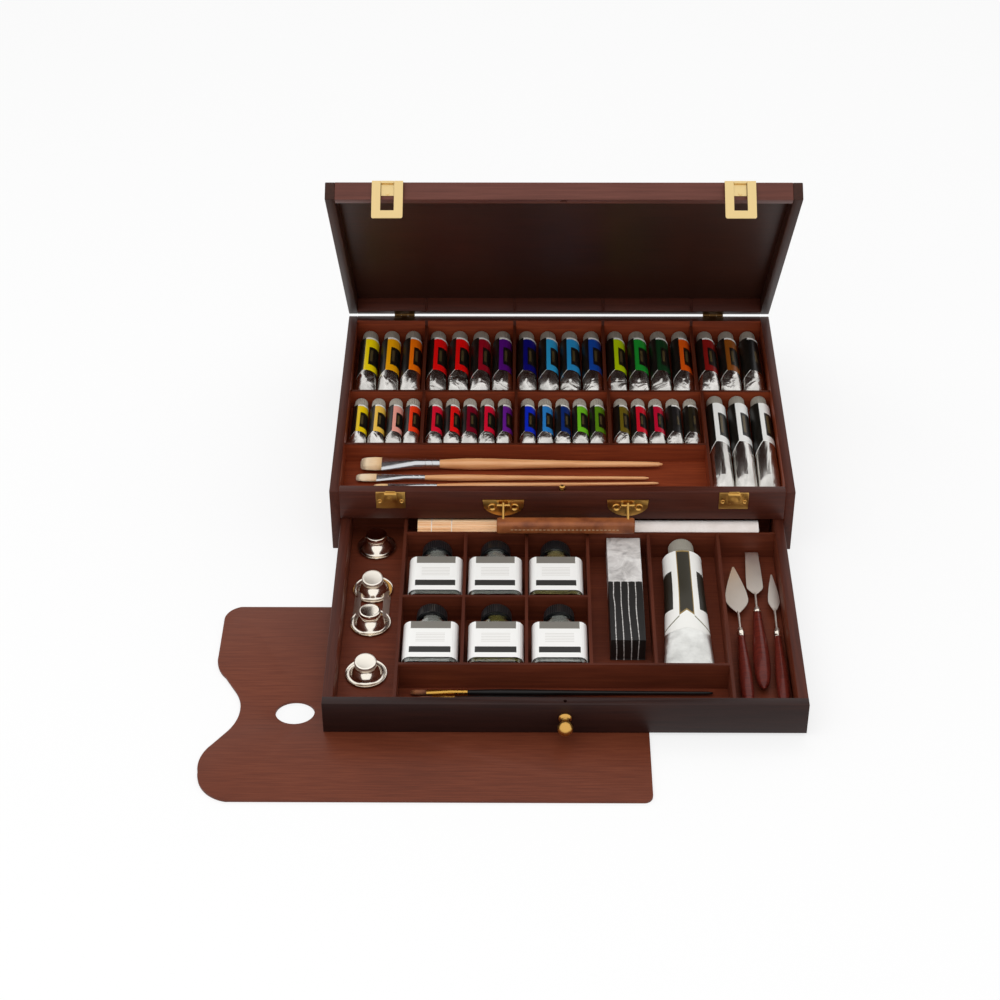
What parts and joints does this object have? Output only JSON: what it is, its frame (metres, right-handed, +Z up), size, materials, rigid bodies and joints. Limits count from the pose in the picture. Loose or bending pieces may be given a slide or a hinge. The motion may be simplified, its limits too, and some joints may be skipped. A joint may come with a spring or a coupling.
{
  "type": "oil paint set",
  "caption": "Wooden oil painting box with hinged lid, swinging hasps, carry handle and pull-out drawer, holding paint tubes, bottles, brushes, knives and cups, with a palette.",
  "frame": {"origin": "centre of the case's flat underside, on the surface that it stands on", "axes": "+X to the right seen from the handle side, +Y to the back, where the hinges are, +Z up"},
  "size_m": [0.5599, 0.6798, 0.3411],
  "materials": {
    "case_wood": "satin",
    "tray_wood": "satin",
    "lid_wood": "satin",
    "drawer_wood": "satin",
    "palette_wood": "satin",
    "brass": "polished",
    "grip": "satin",
    "tube_metal": "satin",
    "cap_plastic": "matte",
    "bottle_glass": "polished",
    "bottle_cap": "satin",
    "paper": "matte",
    "nickel": "polished",
    "steel": "satin",
    "handle_wood": "gloss",
    "black_handle": "gloss",
    "knife_wood": "gloss",
    "hog_hair": "matte",
    "brown_hair": "matte",
    "mat": "matte"
  },
  "bodies": {
    "case": {"case_sides": "case_wood", "case_back": "case_wood", "case_front": "case_wood", "case_bottom": "case_wood", "tray_floor": "tray_wood", "tray_divider_rear": "tray_wood", "tray_divider_front": "tray_wood", "tray_divider_right": "tray_wood", "tray_cross_dividers": "tray_wood", "hinge_case_leaves": "brass", "hinge_pins": "brass", "latch_staples": "brass", "handle_plates": "brass", "fixing_screws": "brass"},
    "lid": {"lid_sides": "lid_wood", "lid_back": "lid_wood", "lid_front": "lid_wood", "lid_panel": "lid_wood", "hinge_lid_leaves": "brass", "hasp_leaves": "brass", "hasp_pins": "brass"},
    "hasp_left": {"hasp_left": "brass"},
    "hasp_right": {"hasp_right": "brass"},
    "handle": {"handle_rings": "brass", "handle_grip": "grip"},
    "lock_pin": {"drawer_lock_pin": "brass"},
    "drawer": {"drawer_front": "drawer_wood", "drawer_sides": "drawer_wood", "drawer_back": "drawer_wood", "drawer_bottom": "drawer_wood", "drawer_divider_rear": "drawer_wood", "drawer_divider_middle": "drawer_wood", "drawer_divider_front": "drawer_wood", "drawer_divider_columns": "drawer_wood", "drawer_cross_dividers": "drawer_wood", "drawer_knob": "brass", "brush_mat": "mat"},
    "tubes_rear": {"tubes_rear_row": "tube_metal", "caps_rear_row": "cap_plastic"},
    "tubes_front": {"tubes_front_row": "tube_metal", "caps_front_row": "cap_plastic"},
    "tubes_large_white": {"tubes_white": "tube_metal", "caps_white": "cap_plastic"},
    "hog_brushes": {"hog_handles": "handle_wood", "hog_ferrules": "steel", "hog_bristles": "hog_hair"},
    "bottles": {"bottle_glass": "bottle_glass", "bottle_caps": "bottle_cap", "bottle_labels": "paper"},
    "charcoal": {"charcoal_box": "paper"},
    "large_white_tube": {"large_tube": "tube_metal", "large_tube_cap": "cap_plastic"},
    "knives": {"knife_blades": "steel", "knife_handles": "knife_wood"},
    "fine_brushes": {"fine_handles": "black_handle", "fine_ferrules": "brass", "fine_hairs": "brown_hair"},
    "cups": {"oil_cups": "nickel", "cup_lids": "nickel"},
    "palette_board": {"palette": "palette_wood"}
  },
  "joints": [
    {"name": "lid_hinge", "type": "hinge", "parent": "case", "child": "lid", "pos_m": [0, 0.15805, 0.0733], "axis": [-1, 0, 0], "range_deg": [-54, 51]},
    {"name": "hasp_left_hinge", "type": "hinge", "parent": "lid", "child": "hasp_left", "pos_m": [-0.1695, -0.01402, 0.33956], "axis": [-1, 0, 0], "range_deg": [-2.8, 110]},
    {"name": "hasp_right_hinge", "type": "hinge", "parent": "lid", "child": "hasp_right", "pos_m": [0.1695, -0.01402, 0.33956], "axis": [-1, 0, 0], "range_deg": [-2.8, 110]},
    {"name": "handle_hinge", "type": "hinge", "parent": "case", "child": "handle", "pos_m": [0.0035, -0.16215, 0.0605], "axis": [-1, 0, 0], "range_deg": [0, 100]},
    {"name": "lock_pin_slide", "type": "slide", "parent": "case", "child": "lock_pin", "axis": [0, 0, 1], "range_m": [-0.0036, 0]},
    {"name": "drawer_slide", "type": "slide", "parent": "case", "child": "drawer", "axis": [0, -1, 0], "range_m": [-0.2665, 0]},
    {"name": "tubes_rear_lift", "type": "slide", "parent": "case", "child": "tubes_rear", "axis": [0, 0, 1], "range_m": [0, 0.034]},
    {"name": "tubes_front_lift", "type": "slide", "parent": "case", "child": "tubes_front", "axis": [0, 0, 1], "range_m": [0, 0.034]},
    {"name": "tubes_white_lift", "type": "slide", "parent": "case", "child": "tubes_large_white", "axis": [0, 0, 1], "range_m": [0, 0.034]},
    {"name": "hog_brushes_lift", "type": "slide", "parent": "case", "child": "hog_brushes", "axis": [0, 0, 1], "range_m": [0, 0.034]},
    {"name": "bottles_lift", "type": "slide", "parent": "drawer", "child": "bottles", "axis": [0, 0, 1], "range_m": [0, 0.034]},
    {"name": "charcoal_lift", "type": "slide", "parent": "drawer", "child": "charcoal", "axis": [0, -0.6, 0.8], "range_m": [0, 0.043]},
    {"name": "large_tube_lift", "type": "slide", "parent": "drawer", "child": "large_white_tube", "axis": [0, 0, 1], "range_m": [0, 0.034]},
    {"name": "knives_lift", "type": "slide", "parent": "drawer", "child": "knives", "axis": [0, 0, 1], "range_m": [0, 0.034]},
    {"name": "fine_brushes_lift", "type": "slide", "parent": "drawer", "child": "fine_brushes", "axis": [0, 0, 1], "range_m": [0, 0.034]},
    {"name": "cups_lift", "type": "slide", "parent": "drawer", "child": "cups", "axis": [0, -0.8, 0.6], "range_m": [0, 0.053]},
    {"name": "palette_slide", "type": "slide", "parent": "case", "child": "palette_board", "axis": [0, -1, 0], "range_m": [0, 0.3]}
  ]
}
